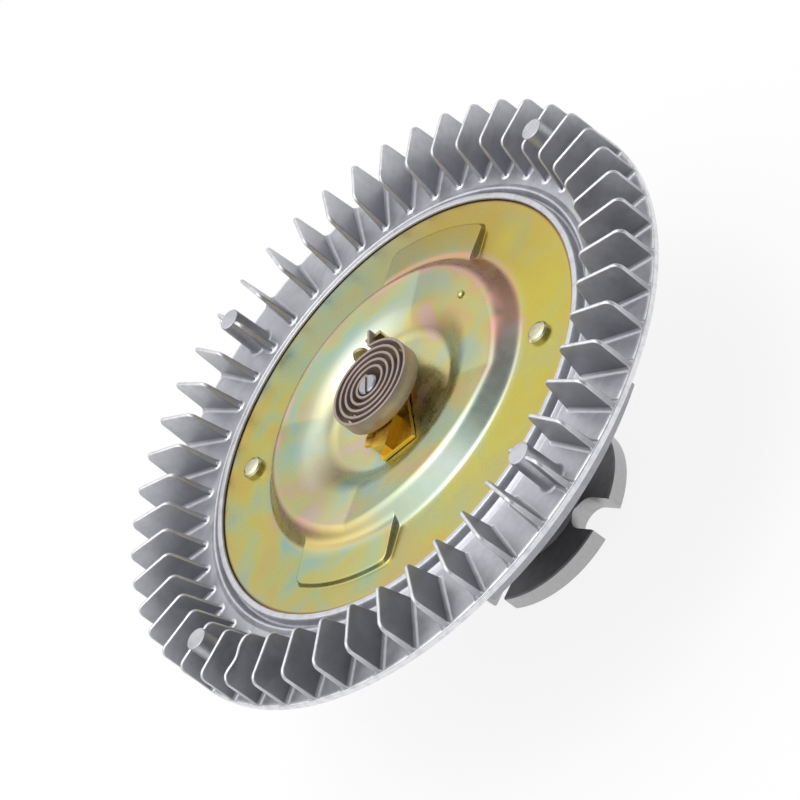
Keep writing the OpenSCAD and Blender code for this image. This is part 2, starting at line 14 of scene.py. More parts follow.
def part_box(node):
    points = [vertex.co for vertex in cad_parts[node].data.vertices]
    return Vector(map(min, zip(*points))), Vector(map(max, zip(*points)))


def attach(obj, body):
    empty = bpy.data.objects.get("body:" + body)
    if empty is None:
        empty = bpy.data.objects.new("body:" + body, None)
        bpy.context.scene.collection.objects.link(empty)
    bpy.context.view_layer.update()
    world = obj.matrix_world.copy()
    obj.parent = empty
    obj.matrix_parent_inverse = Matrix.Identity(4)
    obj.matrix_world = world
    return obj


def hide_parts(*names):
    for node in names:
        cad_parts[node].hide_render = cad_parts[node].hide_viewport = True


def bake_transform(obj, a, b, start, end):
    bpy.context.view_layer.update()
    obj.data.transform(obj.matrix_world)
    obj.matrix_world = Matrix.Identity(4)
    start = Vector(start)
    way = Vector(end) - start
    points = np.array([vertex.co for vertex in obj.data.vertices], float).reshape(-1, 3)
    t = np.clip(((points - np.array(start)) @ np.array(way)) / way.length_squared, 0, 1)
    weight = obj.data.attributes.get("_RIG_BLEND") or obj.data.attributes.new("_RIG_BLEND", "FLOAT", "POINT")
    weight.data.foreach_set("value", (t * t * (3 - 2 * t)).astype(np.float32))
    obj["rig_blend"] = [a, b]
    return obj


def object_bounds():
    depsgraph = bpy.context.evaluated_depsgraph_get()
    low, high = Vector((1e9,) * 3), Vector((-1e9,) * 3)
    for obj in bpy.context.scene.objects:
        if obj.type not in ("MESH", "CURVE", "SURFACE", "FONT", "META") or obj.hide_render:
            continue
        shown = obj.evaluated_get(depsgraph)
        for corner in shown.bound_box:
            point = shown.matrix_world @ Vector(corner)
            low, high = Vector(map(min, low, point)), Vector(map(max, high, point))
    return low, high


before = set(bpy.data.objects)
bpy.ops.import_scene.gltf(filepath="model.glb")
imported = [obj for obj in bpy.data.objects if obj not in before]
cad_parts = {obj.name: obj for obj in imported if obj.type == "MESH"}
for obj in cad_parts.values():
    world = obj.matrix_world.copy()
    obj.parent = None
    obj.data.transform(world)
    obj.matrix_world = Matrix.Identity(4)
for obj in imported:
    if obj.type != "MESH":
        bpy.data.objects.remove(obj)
cad_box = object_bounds()

MM = 0.001


def box_mm(node):
    """Lowest and highest corner of a CAD node, in millimetres."""
    return [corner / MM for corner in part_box(node)]


HOUSING_LOW, HOUSING_HIGH = box_mm("finned_housing")
COVER_LOW, COVER_HIGH = box_mm("front_cover")
COIL_LOW, COIL_HIGH = box_mm("bimetal_coil")

# Angles of the housing on the hub, and of what is fixed to it
HOUSING_TURN = -12.7
BOSS_TURN = HOUSING_TURN + 28.9
COIL_TURN = HOUSING_TURN + 57 - 8.56

# Front of the housing
BODY_R = HOUSING_HIGH.x
FIN_TOP = HOUSING_HIGH.z
FIN_H = 12.3
WEB_T = 2.1
WEB_Z = FIN_TOP - FIN_H
WEB_BACK = WEB_Z - WEB_T
COVER_T = 2.0
COVER_SEAT = COVER_LOW.z
COVER_Z = COVER_SEAT + COVER_T
COVER_R = COVER_HIGH.x
LIP_Z = COVER_Z + 0.7
LIP_IN_R = COVER_R - 0.5
LIP_OUT_R = 64.1
GROOVE_FLOOR = WEB_Z - 0.8
GROOVE_R = 64.9
CREST_R = 66.0
CREST_Z = COVER_Z - 0.1
SLOPE_FOOT_R = CREST_R + 1.6
RIM_IN_R = BODY_R - 1.2

# Inside and back of the housing
TAIL_Z = HOUSING_LOW.z
TAIL_R = 26.0
BEARING_R = 20.0
BEARING_TOP = 40.0
SHOULDER_R = 17.1
FLOOR_Z = 44.5
BACK_Z = 41.0
CHAMBER_R = 52.5
PLATE_Z = 55.0
PLATE_SEAT_R = 57.4
COVER_SEAT_R = 62.7
REGISTER_R = 56.0
SKIRT_R = 63.0
SKIRT_BACK_R = 58.5
PAD_R = 78.0
PAD_Z = WEB_BACK - 8.5
PAD_SPAN = 48.0
FAN_BOLT_R = 68.0
FAN_HOLE_R = 3.4
LAND_R = 30.0
LAND_PITCH = 5.5
LAND_T = 2.35
LAND_H = 4.0
LAND_COUNT = 4
REAR_FIN_H = 4.5
REAR_FIN_T = 2.0
REAR_FIN_EDGE = 0.5
REAR_FIN_TURNS = (-15, -7.5, 0, 7.5, 15)
BOSS_RIB_T = 3.0
BOSS_RIB_EDGE = 0.8
BOSS_RIB_COUNT = 12

# Fins and ejector posts
FIN_COUNT = 48
FIN_IN_R = 69.8
FIN_OUT_R = BODY_R - 0.25
FIN_LEAN = 3.1
FIN_ROUND = 2.4
FIN_TIP_T = 1.05
FIN_ROOT_T = 2.1
FIN_EDGE = 0.42
FIN_FILLET = 1.0
# Painted shade and light on the fins: sides darker toward the web and lighter toward the tip, edges darker
# at the foot
FIN_PAINTED_SHADING = 0.75
FIN_SHADING_ZERO_AT = 0.6
FIN_FOOT_PAINTED_SHADE = 0.3
# Painted light: each fin's sides lighter or darker by its angle round the housing, lightest at the given
# angle
FIN_PAINTED_LIGHT = 0.2
FIN_PAINTED_LIGHT_AT = 45
WAVY_FIN = 26
WAVE_DEPTH = 0.5
WAVE_LENGTH = 8.5
WAVE_STEPS = 14
POST_COUNT = 4
POST_AT_R = 78.6
POST_R = 3.2
POST_DRAFT = 0.25
POST_FILLET = 0.9
POST_EDGE = 0.35
POST_PROUD = 0.3
FLASH_POST = 1
FLASH_NUB = ((0.9, -1.6, 0.4), (0.9, -0.5, 0.6), (0.6, -0.15, 0.8), (0.2, 0.0, 0.8))

# Cover
DOME_R = 44.3
FACET_H = 1.375
FACET_SLOPE = 4.5 / DOME_R
VALLEY_SOFT = 0.45
SHOULDER_SOFT = 1.3
RECESS_FLOOR_R = 21.0
RECESS_FLOOR_H = 0.2
RECESS_STEEP = 1.05
RECESS_FOOT_SOFT = 1.6
RECESS_MOUTH_SOFT = 5.0
BOSS_R = 54.3
BOSS_W = 34.6
BOSS_H = 2.1
BOSS_EDGE_H = 1.3
BOSS_STEEP = 3.5
BOSS_CORNER_SOFT = 2.4
BOSS_BRIM_SOFT = 0.5
BOSS_JOIN_SOFT = 0.9
RING_JOIN_SOFT = 0.8
BOSS_SIDE = 20.5
BOSS_SIDE_BAND = 1.6
BUSH_R = 4.5
PLUG_AT_R = 33.0
PLUG_TURN = BOSS_TURN - 40
PLUG_PROFILE = ((1.15, -0.8, 0), (1.15, 0.15, 0), (1.0, 0.5, 0), (0.65, 0.8, 0), (0.2, 0.9, 0))
RIM_R = 61.2
RIM_FALL = 0.4

# Coil
STRIP_T = 0.85
STRIP_EDGE = 0.2
COIL_R = 3.9
COIL_PITCH = 2.0
COIL_HALF_TURNS = 10
COIL_OUT_R = COIL_R + COIL_HALF_TURNS * COIL_PITCH / 2
COIL_TANG = 2.6
COIL_REACH = 19.6

# Depth by which added shapes are let into what carries them
SINK = 0.4
PAD_SINK = 0.2


class Form:
    """Points, faces and shine of a shape, before it becomes a piece; shine lightens or darkens the finish,
    for worn edges and as painted light and shade.
    """

    def __init__(self, points, faces, shine=None):
        self.points = np.asarray(points, float).reshape(-1, 3)
        self.faces = [tuple(face) for face in faces]
        self.shine = np.zeros(len(self.points)) if shine is None else np.asarray(shine, float).ravel()

    def turned(self, angle):
        """The shape turned about the clutch axis."""
        c, s = math.cos(math.radians(angle)), math.sin(math.radians(angle))
        turn = np.array([[c, s, 0], [-s, c, 0], [0, 0, 1]])
        return Form(self.points @ turn, self.faces, self.shine)

    def moved(self, x, y, z):
        """The shape moved."""
        return Form(self.points + np.array([x, y, z]), self.faces, self.shine)


def joined(forms):
    """Several shapes as one."""
    start, faces = 0, []
    for form in forms:
        faces += [tuple(start + i for i in face) for face in form.faces]
        start += len(form.points)
    points = np.concatenate([form.points for form in forms])
    shine = np.concatenate([form.shine for form in forms])
    return Form(points, faces, shine)


def spread(form, count, first=0.0):
    """Copies of a shape spread evenly round the axis."""
    return [form.turned(first + i * 360 / count) for i in range(count)]


def grid_faces(rows, columns, wrap_rows=False, wrap_columns=False):
    """Quads over a grid of points, counted row by row."""
    faces = []
    for i in range(rows if wrap_rows else rows - 1):
        for j in range(columns if wrap_columns else columns - 1):
            here, ahead = i * columns, (i + 1) % rows * columns
            k = (j + 1) % columns
            faces.append((here + j, here + k, ahead + k, ahead + j))
    return faces


def rounded(corners, steps=5):
    """Closed outline through corners (x, y, radius, shine), each rounded by its radius."""
    outline = []
    for i, (x, y, radius, shine) in enumerate(corners):
        here = Vector((x, y))
        if radius == 0:
            outline.append((x, y, shine))
            continue
        to_last = (Vector(corners[i - 1][:2]) - here).normalized()
        to_next = (Vector(corners[(i + 1) % len(corners)][:2]) - here).normalized()
        half = to_last.angle(to_next) / 2
        centre = here + (to_last + to_next).normalized() * radius / math.sin(half)
        first = here + to_last * radius / math.tan(half) - centre
        last = here + to_next * radius / math.tan(half) - centre
        sweep = math.atan2(first.cross(last), first.dot(last))
        for k in range(steps + 1):
            arm = Matrix.Rotation(sweep * k / steps, 2) @ first
            outline.append((*(centre + arm), shine))
    return outline


def revolved(outline, segments=240):
    """A closed outline in radius and height, turned round the axis."""
    turns = np.radians(np.arange(segments) * 360 / segments)
    r, z, shine = np.array(outline).T
    x, y = np.outer(np.cos(turns), r), np.outer(np.sin(turns), r)
    points = np.stack([x, y, np.tile(z, (segments, 1))], -1)
    return Form(points, grid_faces(segments, len(outline), True, True), np.tile(shine, segments))


def turned_solid(profile, segments=40):
    """A profile of radius, height and shine from bottom to top, turned into a capped solid."""
    turns = np.radians(np.arange(segments) * 360 / segments)
    r, z, shine = np.array(profile).T
    x, y = np.outer(r, np.cos(turns)), np.outer(r, np.sin(turns))
    points = np.stack([x, y, np.tile(z, (segments, 1)).T], -1)
    faces = grid_faces(len(profile), segments, False, True)
    top = (len(profile) - 1) * segments
    faces += [tuple(range(segments)), tuple(range(top, top + segments))]
    return Form(points, faces, np.repeat(shine, segments))


def rib(outline, thickness, edge, steps=3):
    """A plate in a radial plane: its outline in radius and height, with round edges and flat sides."""
    ring = np.array(outline)[:, :2]
    along = np.roll(ring, -1, 0) - np.roll(ring, 1, 0)
    along /= np.linalg.norm(along, axis=1)[:, None]
    x, z = ring.T
    area = np.sum(x * np.roll(z, -1) - z * np.roll(x, -1))
    inward = np.stack([-along[:, 1], along[:, 0]], -1) * np.sign(area)
    columns = []
    for side in (-1, 1):
        angles = np.radians(np.linspace(0, 90, steps + 1))
        for a in angles if side < 0 else angles[::-1]:
            at = ring + inward * edge * (1 - math.sin(a))
            y = side * (thickness(at[:, 1]) / 2 - edge + edge * math.cos(a))
            columns.append(np.stack([at[:, 0], y, at[:, 1]], -1))
    points = np.stack(columns, 1)
    rows, width = points.shape[:2]
    faces = grid_faces(rows, width, True, False)
    faces += [tuple(i * width for i in range(rows)), tuple(i * width + width - 1 for i in range(rows))]
    # Shine on the round edges for worn bright edges, higher on the rounded bevels than on the flat between
    # them as a painted highlight; the flat sides get none
    shine = np.ones((rows, width))
    shine[:, [0, -1]] = 0
    shine[:, [steps, steps + 1]] = 0.6
    return Form(points, faces, shine)


def root_fillet(inner, outer, width, radius, z, steps=4):
    """Hollow fillet round the inner end and both sides of a rib's root."""
    half = width / 2
    centre = inner + half
    path = [(outer, -half, 0, -1)]
    for a in np.radians(np.linspace(270, 90, 9)):
        c, s = math.cos(a), math.sin(a)
        path.append((centre + half * c, half * s, c, s))
    path.append((outer, half, 0, 1))
    arc = np.radians(np.linspace(0, 90, steps + 1))
    section = [(radius * (1 - math.cos(a)), radius * (1 - math.sin(a))) for a in arc]
    section += [(radius, -SINK), (-SINK, -SINK), (-SINK, radius)]
    points = [[(x + nx * out, y + ny * out, z + up) for out, up in section] for x, y, nx, ny in path]
    count = len(section)
    faces = grid_faces(len(path), count, False, True)
    last = (len(path) - 1) * count
    faces += [tuple(range(count)), tuple(range(last, last + count))]
    # Shine of 0.25 along the fillet, rising to full round its inner end as a painted highlight where the
    # fin's inner edge meets the web
    shine = [0.25 + 0.75 * max(0, -nx) for _, _, nx, _ in path]
    return Form(points, faces, np.repeat(shine, count))


def pierced_plate(outline, hole, z, depth, edge):
    """A flat plate with round edges and one hole, from outlines in plan."""
    curve = bpy.data.curves.new("plate", "CURVE")
    curve.dimensions = "2D"
    curve.fill_mode = "BOTH"
    curve.extrude = depth / 2 - edge
    curve.bevel_depth = edge
    curve.bevel_resolution = 2
    curve.offset = -edge
    for loop in (outline, hole):
        spline = curve.splines.new("POLY")
        spline.points.add(len(loop) - 1)
        for point, (x, y) in zip(spline.points, loop):
            point.co = (x, y, 0, 1)
        spline.use_cyclic_u = True
    holder = bpy.data.objects.new("plate", curve)
    bpy.context.scene.collection.objects.link(holder)
    mesh = bpy.data.meshes.new_from_object(holder.evaluated_get(bpy.context.evaluated_depsgraph_get()))
    points = [vertex.co[:] for vertex in mesh.vertices]
    faces = [face.vertices[:] for face in mesh.polygons]
    bpy.data.objects.remove(holder)
    bpy.data.curves.remove(curve)
    bpy.data.meshes.remove(mesh)
    return Form(points, faces).moved(0, 0, z + depth / 2)


def make_piece(name, form, body, material, node, sharp=38.0):
    """A mesh piece in metres that stands for a CAD node."""
    mesh = bpy.data.meshes.new(name)
    mesh.from_pydata((form.points * MM).tolist(), [], form.faces)
    shine = mesh.attributes.new("shine", "FLOAT", "POINT")
    shine.data.foreach_set("value", form.shine.astype(np.float32))
    work = bmesh.new()
    work.from_mesh(mesh)
    bmesh.ops.recalc_face_normals(work, faces=work.faces)
    work.to_mesh(mesh)
    work.free()
    mesh.shade_smooth()
    mesh.set_sharp_from_angle(angle=math.radians(sharp))
    piece = bpy.data.objects.new(name, mesh)
    bpy.context.scene.collection.objects.link(piece)
    mesh.materials.append(material)
    if body:
        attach(piece, body)
    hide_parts(node)
    return piece


# Housing


def fin_thickness(z):
    """Thickness of a front fin at a height, thinner towards its tip."""
    return FIN_ROOT_T + (FIN_TIP_T - FIN_ROOT_T) * (z - WEB_Z) / FIN_H


def front_fin(top, tone, wavy):
    """One front fin with its root fillet; its tone, a painted light, makes the sides lighter or darker."""
    margin = FIN_ROUND + 0.3
    crest = np.linspace(FIN_IN_R + FIN_LEAN + margin, FIN_OUT_R - margin, WAVE_STEPS) if wavy else []
    outline = rounded([
        (FIN_IN_R, WEB_Z - SINK, 0, 0),
        (FIN_IN_R + FIN_LEAN, top, FIN_ROUND, 0),
        *((x, top, 0, 0) for x in crest),
        (FIN_OUT_R, top, FIN_ROUND, 0),
        (FIN_OUT_R, WEB_Z - SINK, 0, 0),
    ], steps=7)
    blade = rib(outline, fin_thickness, FIN_EDGE)
    x, y, z = blade.points.T
    share = np.clip((z - WEB_Z + SINK) / (FIN_H + SINK), 0, 1)
    # Painted shade and light: edges darken toward the fin's foot, sides darken toward the web and lighten
    # toward the tip, plus the fin's own painted light
    edge = blade.shine * ((1 + FIN_FOOT_PAINTED_SHADE) * share ** 1.5 - FIN_FOOT_PAINTED_SHADE)
    side = FIN_PAINTED_SHADING * (share - FIN_SHADING_ZERO_AT) + tone
    blade.shine = np.where(blade.shine > 0, edge, side)
    if wavy:
        wave = np.sin((x - FIN_IN_R) * 2 * math.pi / WAVE_LENGTH)
        blade.points[:, 1] = y + WAVE_DEPTH * share ** 2 * wave
    foot_in = FIN_IN_R + FIN_LEAN * FIN_FILLET / FIN_H
    foot = root_fillet(foot_in, FIN_OUT_R, FIN_ROOT_T - 0.1, FIN_FILLET, WEB_Z)
    return joined([blade, foot])


def ejector_post(flash):
    """Round post at a fin, with a fillet at its root and a flat end, and a nub of flash if asked."""
    arc = [(math.cos(a), math.sin(a)) for a in np.radians(np.linspace(0, 90, 4))]
    foot_r = POST_R + POST_DRAFT
    end_r, end_z = POST_R - POST_EDGE, FIN_TOP - POST_EDGE
    profile = [(foot_r + POST_FILLET, WEB_Z - SINK, 0)]
    profile += [(foot_r + POST_FILLET * (1 - s), WEB_Z + POST_FILLET * (1 - c), 0.2) for c, s in arc]
    profile += [(end_r + POST_EDGE * c, end_z + POST_EDGE * s, 0.25) for c, s in arc]
    forms = [turned_solid(profile).moved(POST_AT_R, 0, 0)]
    if flash:
        forms.append(turned_solid(FLASH_NUB, 12).moved(POST_AT_R + POST_R, POST_R * 0.4, FIN_TOP))
    return joined(forms)


def fan_pad():
    """Raised pad behind the web, with its tapped hole for a fan bolt."""
    sweep = np.radians(np.linspace(-PAD_SPAN / 2, PAD_SPAN / 2, 25))
    inner_r = SKIRT_BACK_R - 0.2
    outline = [(PAD_R * math.cos(a), PAD_R * math.sin(a)) for a in sweep]
    outline += [(inner_r * math.cos(a), inner_r * math.sin(a)) for a in sweep[::-1]]
    circle = np.radians(np.arange(0, 360, 10))
    hole = [(FAN_BOLT_R + FAN_HOLE_R * math.cos(a), FAN_HOLE_R * math.sin(a)) for a in circle]
    return pierced_plate(outline, hole, PAD_Z, WEB_BACK + PAD_SINK - PAD_Z, 0.5)


def rear_fin():
    """Short cooling fin on the back of the web."""
    low = WEB_BACK - REAR_FIN_H
    share = 1 - REAR_FIN_H / (WEB_BACK - PAD_Z)
    skirt_here = SKIRT_BACK_R + (SKIRT_R - SKIRT_BACK_R) * share
    outline = rounded([
        (skirt_here - SINK, low, 0, 0),
        (FAN_BOLT_R, low, 1.5, 0),
        (PAD_R - 1, WEB_BACK - 1, 0.4, 0),
        (PAD_R - 1, WEB_BACK + PAD_SINK, 0, 0),
        (SKIRT_R - SINK, WEB_BACK + PAD_SINK, 0, 0),
    ])
    return rib(outline, lambda z: np.full_like(z, REAR_FIN_T), REAR_FIN_EDGE)


def boss_rib():
    """Rib that stiffens the bearing boss."""
    top = TAIL_Z + 6
    far = REGISTER_R - 6
    outline = rounded([
        (TAIL_R - 1, BACK_Z + SINK, 0, 0),
        (TAIL_R - 1, top, 0, 0),
        (TAIL_R + 1, top, 1.0, 0),
        (far, BACK_Z - 1, 0.4, 0),
        (far, BACK_Z + SINK, 0, 0),
    ])
    return rib(outline, lambda z: np.full_like(z, BOSS_RIB_T), BOSS_RIB_EDGE)


def housing_section():
    """Section of the housing that is turned round the axis, as (radius, height, rounding, shine)."""
    return rounded([
        (BEARING_R, TAIL_Z, 0.5, 1),
        (BEARING_R, BEARING_TOP, 0, 0),
        (SHOULDER_R, BEARING_TOP, 0, 0),
        (SHOULDER_R, FLOOR_Z, 0, 0),
        (CHAMBER_R, FLOOR_Z, 0, 0),
        (CHAMBER_R, PLATE_Z, 0, 0),
        (PLATE_SEAT_R, PLATE_Z, 0, 0),
        (PLATE_SEAT_R, COVER_SEAT, 0, 0),
        (COVER_SEAT_R, COVER_SEAT, 0, 0),
        (COVER_SEAT_R, COVER_Z, 0, 0),
        (LIP_IN_R, COVER_Z, 0.1, 0),
        (LIP_IN_R + 0.2, LIP_Z, 0.4, 0.4),
        (LIP_OUT_R, LIP_Z, 0.6, 0.4),
        (LIP_OUT_R, GROOVE_FLOOR, 0.3, 0.2),
        (GROOVE_R, GROOVE_FLOOR, 0.3, 0),
        (CREST_R, CREST_Z, 0.6, 0.4),
        (SLOPE_FOOT_R, WEB_Z + 0.1, 0.8, 0.2),
        (FIN_IN_R - 0.3, WEB_Z, 0, 0.1),
        (RIM_IN_R, WEB_Z, 0, 0.1),
        (BODY_R, WEB_Z, 0.5, 0.9),
        (BODY_R, WEB_BACK, 0.5, 0.9),
        (RIM_IN_R, WEB_BACK, 0, 0),
        (SKIRT_R, WEB_BACK, 1.0, 0),
        (SKIRT_BACK_R, PAD_Z, 0.3, 0),
        (REGISTER_R, PAD_Z, 0.3, 0),
        (REGISTER_R, BACK_Z, 1.5, 0.6),
        (TAIL_R, BACK_Z, 3.0, 0),
        (TAIL_R, TAIL_Z, 0.9, 1),
    ])


def shear_land(radius):
    """One shear land on the chamber's floor."""
    inner, outer = radius - LAND_T / 2, radius + LAND_T / 2
    low, high = FLOOR_Z - SINK, FLOOR_Z + LAND_H
    return revolved([(inner, low, 0), (outer, low, 0), (outer, high, 0), (inner, high, 0)], 120)


def build_housing(material):
    """Die-cast housing with its fins, posts, pads and ribs."""
    forms = [revolved(housing_section())]
    for i in range(FIN_COUNT):
        top = FIN_TOP - POST_PROUD if i % (FIN_COUNT // POST_COUNT) == 0 else FIN_TOP
        turn = i * 360 / FIN_COUNT
        # Painted light: this fin's sides lighter or darker by its angle round the housing
        tone = FIN_PAINTED_LIGHT * math.cos(math.radians(turn + HOUSING_TURN - FIN_PAINTED_LIGHT_AT))
        forms.append(front_fin(top, tone, i == WAVY_FIN).turned(turn))
    forms += [ejector_post(i == FLASH_POST).turned(i * 360 / POST_COUNT) for i in range(POST_COUNT)]
    forms += spread(fan_pad(), POST_COUNT)
    for turn in REAR_FIN_TURNS:
        forms += spread(rear_fin(), POST_COUNT, 45 + turn)
    forms += spread(boss_rib(), BOSS_RIB_COUNT, 180 / BOSS_RIB_COUNT)
    forms += [shear_land(LAND_R + i * LAND_PITCH) for i in range(LAND_COUNT)]
    housing = joined(forms).turned(HOUSING_TURN)
    piece = make_piece(
        "housing_casting", housing, "housing", material, "finned_housing")
    flats = piece.modifiers.new("flat sides", "WEIGHTED_NORMAL")
    flats.keep_sharp = True
    return piece


# Cover


def soft_min(a, b, width):
    """The lower of two heights, blended over a width."""
    share = np.clip(0.5 + 0.5 * (b - a) / width, 0, 1)
    return b * (1 - share) + a * share - width * share * (1 - share)


def soft_max(a, b, width):
    """The higher of two heights, blended over a width."""
    return -soft_min(-a, -b, width)


def cover_height(radius, angle):
    """Height of the cover's face above its flat ring."""
    bend = np.radians(angle - BOSS_TURN)
    along, across = radius * np.cos(bend), radius * np.sin(bend)
    reach = soft_max(np.abs(along + across), np.abs(along - across), VALLEY_SOFT) / math.sqrt(2)
    dome = soft_min(FACET_H + FACET_SLOPE * reach, DOME_R - radius, SHOULDER_SOFT)
    edge = soft_min(BOSS_R - radius, BOSS_W / 2 - np.abs(across), BOSS_CORNER_SOFT)
    inward = np.clip((BOSS_R - radius) / (BOSS_R - DOME_R), 0, 1)
    boss_top = BOSS_EDGE_H + (BOSS_H - BOSS_EDGE_H) * inward
    boss = soft_min(edge * BOSS_STEEP, boss_top, BOSS_BRIM_SOFT)
    raised = soft_max(soft_max(dome, boss, BOSS_JOIN_SOFT), 0, RING_JOIN_SOFT)
    wall = RECESS_FLOOR_H + (radius - RECESS_FLOOR_R) * RECESS_STEEP
    recess = soft_max(wall, RECESS_FLOOR_H, RECESS_FOOT_SOFT)
    return soft_min(raised, recess, RECESS_MOUTH_SOFT)


def cover_radii():
    """Radii of the cover's rings, closer together where the sheet bends."""
    stretches = [
        (BUSH_R, 18, 8),
        (18, 27, 32),
        (27, 36, 20),
        (36, 47, 42),
        (47, 52.5, 10),
        (52.5, 56, 14),
        (56, RIM_R, 6),
    ]
    rings = [np.linspace(a, b, n, endpoint=False) for a, b, n in stretches]
    return np.concatenate([*rings, np.linspace(RIM_R, COVER_R, 7)])


def cover_columns():
    """Angles of the cover's columns from a boss's middle, closer together at the bosses' sides."""
    near, far = BOSS_SIDE - BOSS_SIDE_BAND, BOSS_SIDE + BOSS_SIDE_BAND
    stretches = [(0, near, 24), (near, far, 24), (far, 90, 64)]
    quarter = np.concatenate([np.linspace(a, b, n, endpoint=False) for a, b, n in stretches])
    half = np.concatenate([quarter, [90], 180 - quarter[:0:-1]])
    return np.concatenate([half, half + 180])


def cover_surface(rings, columns, drop):
    """Points of the cover's sheet, on columns that follow the bosses' straight sides."""

    def knots(side):
        return [0, side, 180 - side, 180 + side, 360 - side, 360]

    rows = []
    for r in rings:
        side = math.degrees(math.asin(BOSS_W / 2 / min(max(r, DOME_R), BOSS_R)))
        angles = BOSS_TURN + np.interp(columns, knots(BOSS_SIDE), knots(side))
        fall = 0 if drop else RIM_FALL * (max(r - RIM_R, 0) / (COVER_R - RIM_R)) ** 2
        z = COVER_Z - drop - fall + cover_height(r, angles)
        turns = np.radians(angles)
        rows.append(np.stack([r * np.cos(turns), r * np.sin(turns), z], -1))
    return np.concatenate(rows)


def build_cover(material):
    """Pressed cover: flat ring, faceted dome, two bosses and the coil's recess."""
    radii = cover_radii()
    angles = cover_columns()
    columns = len(angles)
    under = np.concatenate([radii[:-1:5], radii[-1:]])
    face = Form(cover_surface(radii, angles, 0), grid_faces(len(radii), columns, False, True))
    back = Form(cover_surface(under, angles, COVER_T), grid_faces(len(under), columns, False, True))
    start = len(face.points)
    rims = []
    for top, low in ((0, start), (start - columns, start + len(back.points) - columns)):
        for j in range(columns):
            k = (j + 1) % columns
            rims.append((top + j, top + k, low + k, low + j))
    sheet = joined([face, back])
    sheet.faces += rims
    plug_z = COVER_Z + cover_height(PLUG_AT_R, PLUG_TURN)
    plug = turned_solid(PLUG_PROFILE, 24).moved(PLUG_AT_R, 0, plug_z).turned(PLUG_TURN)
    cover = joined([sheet, plug])
    return make_piece("cover_pressing", cover, "housing", material, "front_cover", 60.0)


# Coil


def coil_path():
    """Middle line of the strip in plan: inner tang, half circles of growing radius, outer leg."""
    path = [(-COIL_TANG, 0.0), (COIL_R - 1.0, 0.0)]
    for i in range(COIL_HALF_TURNS):
        centre = i % 2 * COIL_PITCH / 2
        radius = COIL_R + i * COIL_PITCH / 2
        first = 12 if i == 0 else 0
        last = 177 if i == COIL_HALF_TURNS - 1 else 180
        arc = np.radians(i * 180 + np.linspace(first, last, 40, endpoint=i == COIL_HALF_TURNS - 1))
        path += [(centre + radius * math.cos(a), radius * math.sin(a)) for a in arc]
    path += [(COIL_OUT_R + 0.5, 0.0), (COIL_REACH - 1.5, 0.0), (COIL_REACH, 0.0)]
    return np.array(path)


def build_coil(material):
    """Bimetal strip wound in a flat spiral; it twists between the valve and the housing."""
    path = coil_path()
    along = np.gradient(path, axis=0)
    along /= np.linalg.norm(along, axis=1)[:, None]
    across = np.stack([-along[:, 1], along[:, 0]], -1)
    half, low, high = STRIP_T / 2, COIL_LOW.z, COIL_HIGH.z
    section = rounded([
        (-half, low, STRIP_EDGE, 0),
        (half, low, STRIP_EDGE, 0),
        (half, high, STRIP_EDGE, 0),
        (-half, high, STRIP_EDGE, 0),
    ], steps=3)
    points = [[(*(at + side * out), z) for out, z, _ in section] for at, side in zip(path, across)]
    count = len(section)
    faces = grid_faces(len(path), count, False, True)
    last = (len(path) - 1) * count
    faces += [tuple(range(count)), tuple(range(last, last + count))]
    form = Form(points, faces).turned(COIL_TURN)
    piece = make_piece("thermostat_coil", form, None, material, "bimetal_coil", 50.0)
    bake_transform(piece, "valve", "housing", start=(0, 0, low * MM), end=(0, 0, high * MM))
    length = np.concatenate([[0], np.cumsum(np.linalg.norm(np.diff(path, axis=0), axis=1))])
    inner, outer = COIL_TANG + COIL_R, length[-1] - (COIL_REACH - COIL_OUT_R)
    share = np.clip((length - inner) / (outer - inner), 0, 1)
    weights = piece.data.attributes["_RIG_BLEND"]
    weights.data.foreach_set("value", np.repeat(share, count).astype(np.float32))
    return piece


# Finishes

METAL_GRAIN = 0.35
METAL_GRAIN_DEPTH = 0.02
METAL_DRIFT = 0.12

# Ways in plan on the cover: to its greener side, and to the side that faces the camera
ASIDE_WAY = (-0.87, 0.5)
TOWARD_WAY = (-0.59, -0.81)


def fill_ramp(ramp, stops):
    """Gives a colour ramp its stops, as (place, colour)."""
    ramp.interpolation = "EASE"
    while len(ramp.elements) < len(stops):
        ramp.elements.new(0.5)
    for element, (at, colour) in zip(ramp.elements, stops):
        element.position = at
        element.color = (*colour, 1)


